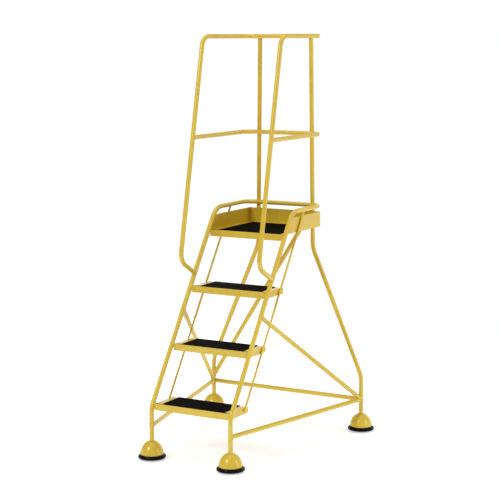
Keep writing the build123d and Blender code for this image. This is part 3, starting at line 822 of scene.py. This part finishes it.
make_piece("frame_welds", frame_welds, "frame", WELD_PAINT, sharp=80.0)

foot_welds = []
for spot in SPOTS:
    foot = middle("dome_" + spot)
    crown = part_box("dome_" + spot)[1].z
    foot_welds.append(ring_weld((foot.x, foot.y, crown - 0.0002), TUBE_R + 0.0006, thickness=0.0019))
make_piece("foot_welds", foot_welds, "frame", WELD_PAINT, sharp=80.0)

step_welds = []
for tread in TREADS:
    low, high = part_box(tread)
    flange_low, flange_high = low.z + 0.002, high.z - 0.004
    rod_low, rod_high = high.z - 0.020, high.z - 0.008
    front_limit = low.y + 0.002
    for side in SIDES:
        stile_seam_x = side * (TREAD_X - 0.0004)
        rod_tack_x = side * (TREAD_X + 0.0012)
        # A seam in front of the line where the stile touches, and one behind it
        for shift in (-0.0075, 0.0075):
            step_welds.append(
                seam_weld(
                    (stile_seam_x, max(stile_y(flange_low) + shift, front_limit), flange_low),
                    (stile_seam_x, max(stile_y(flange_high) + shift, front_limit), flange_high),
                )
            )
        # A tack in front of the rod and one behind it
        for shift in (-0.0032, 0.0032):
            step_welds.append(
                seam_weld(
                    (rod_tack_x, stile_y(rod_low) + ROD_SETBACK + shift, rod_low),
                    (rod_tack_x, stile_y(rod_high) + ROD_SETBACK + shift, rod_high),
                    thickness=0.0012,
                    ripples=3,
                )
            )
make_piece("step_welds", step_welds, "frame", WELD_PAINT, sharp=80.0)


# ------------------------------------------------------------------ studio
def area_light(name, place, target, width, height, power, colour=(1.0, 1.0, 1.0)):
    """Rectangular softbox at a place, facing a target; metres and watts."""
    data = bpy.data.lights.new(name, "AREA")
    data.shape = "RECTANGLE"
    data.size = width
    data.size_y = height
    data.energy = power
    data.color = colour
    light = bpy.data.objects.new(name, data)
    light.location = place
    light.rotation_euler = (Vector(target) - Vector(place)).to_track_quat("-Z", "Y").to_euler()
    light.visible_camera = False
    bpy.context.scene.collection.objects.link(light)


VIEW_TURN = math.radians(29.583)  # turned left from facing the rear
VIEW_DOWN = math.radians(8.302)
VIEW_ROLL = math.radians(-0.215)
EYE = (3.4928, -6.0537, 1.9671)
SENSOR_MM = 36.0
LENS_MM = 105.51


def make_camera():
    """Camera in front and to the right, level with the top rail and looking slightly down."""
    data = bpy.data.cameras.new("view")
    data.sensor_width = SENSOR_MM
    data.lens = LENS_MM
    data.clip_end = 200.0
    camera = bpy.data.objects.new("view", data)
    turn = Matrix.Rotation(VIEW_TURN, 4, "Z") @ Matrix.Rotation(math.pi / 2 - VIEW_DOWN, 4, "X")
    camera.matrix_world = Matrix.Translation(EYE) @ turn @ Matrix.Rotation(VIEW_ROLL, 4, "Z")
    bpy.context.scene.collection.objects.link(camera)
    bpy.context.scene.camera = camera


FLOOR_R = 3.2
FLOOR_COLOUR = (0.76, 0.80, 0.86)
FLOOR_GLOW = (0.46, 0.48, 0.51)
GLOW_START_R, GLOW_FULL_R = 0.7, 3.0
WHITE = (1.0, 1.0, 1.0)


def make_floor():
    """Plain pale round floor that glows into the white surround at its edge."""
    steps = 128
    angle = np.linspace(0, 2 * math.pi, steps, endpoint=False)
    rim = np.stack([FLOOR_R * np.cos(angle), FLOOR_R * np.sin(angle), np.zeros(steps)], axis=-1)
    mesh = bpy.data.meshes.new("floor")
    mesh.from_pydata(rim, [], [list(range(steps))])
    pale = Finish("pale_floor", Roughness=0.9, Specular_IOR_Level=0.1, Emission_Strength=1.0)
    away = pale.node("VectorMath", {"operation": "LENGTH"}, {0: pale.place()}).outputs["Value"]
    glow = pale.blend(pale.band(away, GLOW_START_R, GLOW_FULL_R), FLOOR_GLOW, WHITE)
    pale.surface(Base_Color=(*FLOOR_COLOUR, 1.0), Emission_Color=glow)
    mesh.materials.append(pale.material)
    floor = bpy.data.objects.new("floor", mesh)
    bpy.context.scene.collection.objects.link(floor)
    floor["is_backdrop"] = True


WORLD_FILL = (0.42, 0.34, 0.27)
WORLD_SEEN = (1.02, 1.02, 1.02)


def make_world():
    """White surround, dimmer and warmer as a light than it looks behind the ladder."""
    world = bpy.data.worlds.new("studio")
    bpy.context.scene.world = world
    world.use_nodes = True
    tree = world.node_tree
    background = tree.nodes["Background"]
    path = tree.nodes.new("ShaderNodeLightPath")
    fill_or_seen = tree.nodes.new("ShaderNodeMix")
    fill_or_seen.data_type = "RGBA"
    fill_or_seen.inputs[MIX_FIRST].default_value = (*WORLD_FILL, 1.0)
    fill_or_seen.inputs[MIX_SECOND].default_value = (*WORLD_SEEN, 1.0)
    tree.links.new(path.outputs["Is Camera Ray"], fill_or_seen.inputs["Factor"])
    tree.links.new(fill_or_seen.outputs[MIX_RESULT], background.inputs["Color"])


make_camera()
make_floor()
make_world()
area_light(
    "key_softbox",
    place=(-1.30, -5.35, 4.60),
    target=(0.0, 0.0, 0.8),
    width=1.4,
    height=1.4,
    power=165.0,
    colour=(0.90, 1.0, 0.90),
)
area_light(
    "side_strip",
    place=(3.95, 0.55, 1.60),
    target=(0.0, 0.0, 0.9),
    width=0.5,
    height=2.6,
    power=40.0,
    colour=(0.92, 1.0, 0.92),
)
area_light(
    "backdrop",
    place=(0.0, 5.6, 1.9),
    target=(0.0, 0.0, 1.5),
    width=11.0,
    height=3.8,
    power=115.0,
)
area_light(
    "overhead",
    place=(0.0, 0.4, 5.5),
    target=(0.0, 0.4, 0.0),
    width=4.5,
    height=4.5,
    power=95.0,
    colour=(0.94, 1.0, 0.94),
)
bpy.context.scene.view_settings.view_transform = "Standard"

low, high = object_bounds()
